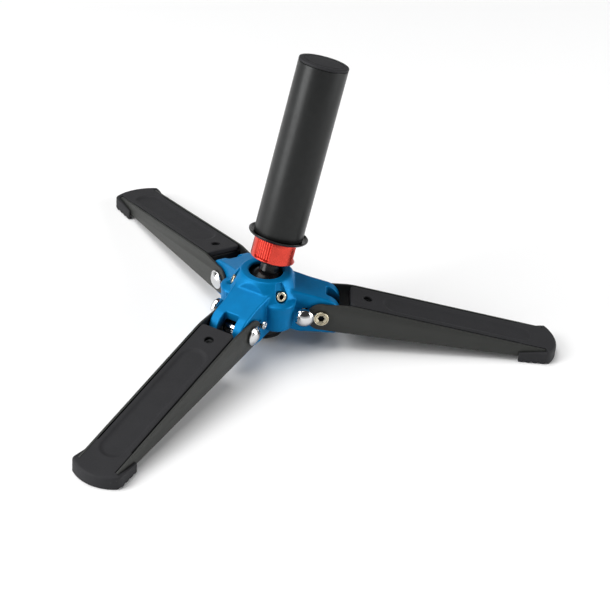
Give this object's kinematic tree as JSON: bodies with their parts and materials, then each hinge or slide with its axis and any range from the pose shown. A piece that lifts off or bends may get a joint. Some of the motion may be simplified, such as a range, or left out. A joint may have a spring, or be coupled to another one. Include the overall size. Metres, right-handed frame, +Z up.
{
  "type": "folding monopod base",
  "caption": "Folding tripod foot for a monopod: hinged channel legs with push-button locks on a cast hub, and a ball joint with a screw collar below the tube.",
  "frame": {"origin": "centre of the flat underside of the rubber pad below the hub, 5 mm above the floor that the feet stand on", "axes": "+Z up, +X along leg 1; legs 2 and 3 at 120 and 240 degrees; at rest the tube leans 15.6 degrees towards azimuth 47.7 degrees"},
  "size_m": [0.3008, 0.341, 0.1867],
  "materials": {
    "blue_casting": "satin paint on die-cast aluminium",
    "red_anodised": "turned and red anodised",
    "black_anodised": "satin black anodised",
    "gloss_black": "gloss black",
    "black_paint": "satin charcoal powder coat",
    "black_moulding": "matt moulded, fine grain",
    "black_rubber": "matt rubber",
    "chrome": "polished",
    "nickel": "warm nickel plate",
    "spring_steel": "plain",
    "black_nylon": "plain black nylon",
    "bronze": "sintered bronze"
  },
  "bodies": {
    "base": {"hub_casting": "blue_casting", "base_plug": "black_anodised", "base_pad": "black_rubber", "tension_screw_1": "nickel", "pivot_bolt_1": "chrome", "pivot_screw_1": "nickel", "pivot_washer_left_1": "black_nylon", "pivot_washer_right_1": "black_nylon", "lock_spring_1": "spring_steel", "tension_screw_2": "nickel", "pivot_bolt_2": "chrome", "pivot_screw_2": "nickel", "pivot_washer_left_2": "black_nylon", "pivot_washer_right_2": "black_nylon", "lock_spring_2": "spring_steel", "tension_screw_3": "nickel", "pivot_bolt_3": "chrome", "pivot_screw_3": "nickel", "pivot_washer_left_3": "black_nylon", "pivot_washer_right_3": "black_nylon", "lock_spring_3": "spring_steel"},
    "leg_1": {"leg_channel_1": "black_paint", "leg_pad_1": "black_moulding", "pad_screw_1": "black_anodised"},
    "leg_2": {"leg_channel_2": "black_paint", "leg_pad_2": "black_moulding", "pad_screw_2": "black_anodised"},
    "leg_3": {"leg_channel_3": "black_paint", "leg_pad_3": "black_moulding", "pad_screw_3": "black_anodised"},
    "lock_1": {"lock_button_1": "chrome", "lock_pin_cap_1": "chrome"},
    "lock_2": {"lock_button_2": "chrome", "lock_pin_cap_2": "chrome"},
    "lock_3": {"lock_button_3": "chrome", "lock_pin_cap_3": "chrome"},
    "ball_swing": {"ball_seat": "black_nylon"},
    "ball": {"ball_stem": "gloss_black", "stem_bolt": "spring_steel"},
    "collar_ring": {"thrust_ring": "gloss_black"},
    "collar": {"lock_collar": "red_anodised"},
    "tube": {"flange_ring": "gloss_black", "column_tube": "black_anodised", "bearing_plug": "black_paint", "pan_bush": "bronze", "tube_cap": "black_moulding"}
  },
  "joints": [
    {"name": "leg_fold_1", "type": "hinge", "parent": "base", "child": "leg_1", "pos_m": [0.037, 0, 0.0192], "axis": [0, -1, 0], "range_deg": [0, 90]},
    {"name": "leg_fold_2", "type": "hinge", "parent": "base", "child": "leg_2", "pos_m": [-0.0185, 0.03204, 0.0192], "axis": [0.866, 0.5, 0], "range_deg": [0, 90]},
    {"name": "leg_fold_3", "type": "hinge", "parent": "base", "child": "leg_3", "pos_m": [-0.0185, -0.03204, 0.0192], "axis": [-0.866, 0.5, 0], "range_deg": [0, 90]},
    {"name": "lock_press_1", "type": "slide", "parent": "base", "child": "lock_1", "axis": [0, 1, 0], "range_m": [0, 0.0025], "stiffness_N_per_m": 800, "springref_m": -0.002, "deforming": ["lock_spring_1"]},
    {"name": "lock_press_2", "type": "slide", "parent": "base", "child": "lock_2", "axis": [-0.866, -0.5, 0], "range_m": [0, 0.0025], "stiffness_N_per_m": 800, "springref_m": -0.002, "deforming": ["lock_spring_2"]},
    {"name": "lock_press_3", "type": "slide", "parent": "base", "child": "lock_3", "axis": [0.866, -0.5, 0], "range_m": [0, 0.0025], "stiffness_N_per_m": 800, "springref_m": -0.002, "deforming": ["lock_spring_3"]},
    {"name": "ball_swing", "type": "hinge", "parent": "base", "child": "ball_swing", "pos_m": [0, 0, 0.033], "axis": [0, 0, 1], "continuous": true},
    {"name": "ball_tilt", "type": "hinge", "parent": "ball_swing", "child": "ball", "pos_m": [0, 0, 0.033], "axis": [0.7396, -0.673, 0], "range_deg": [-4.4, 15.6]},
    {"name": "tube_pan", "type": "hinge", "parent": "ball", "child": "tube", "pos_m": [0, 0, 0.033], "axis": [0.181, 0.1989, 0.9632], "continuous": true},
    {"name": "collar_travel", "type": "slide", "parent": "ball", "child": "collar_ring", "axis": [-0.181, -0.1989, -0.9632], "range_m": [0, 0.0015]},
    {"name": "collar_turn", "type": "hinge", "parent": "collar_ring", "child": "collar", "pos_m": [0, 0, 0.033], "axis": [-0.181, -0.1989, -0.9632], "range_deg": [0, 360]}
  ],
  "couplings": [
    {"joint": "collar_turn", "follows": "collar_travel", "rad_per_m": 4188.8}
  ]
}
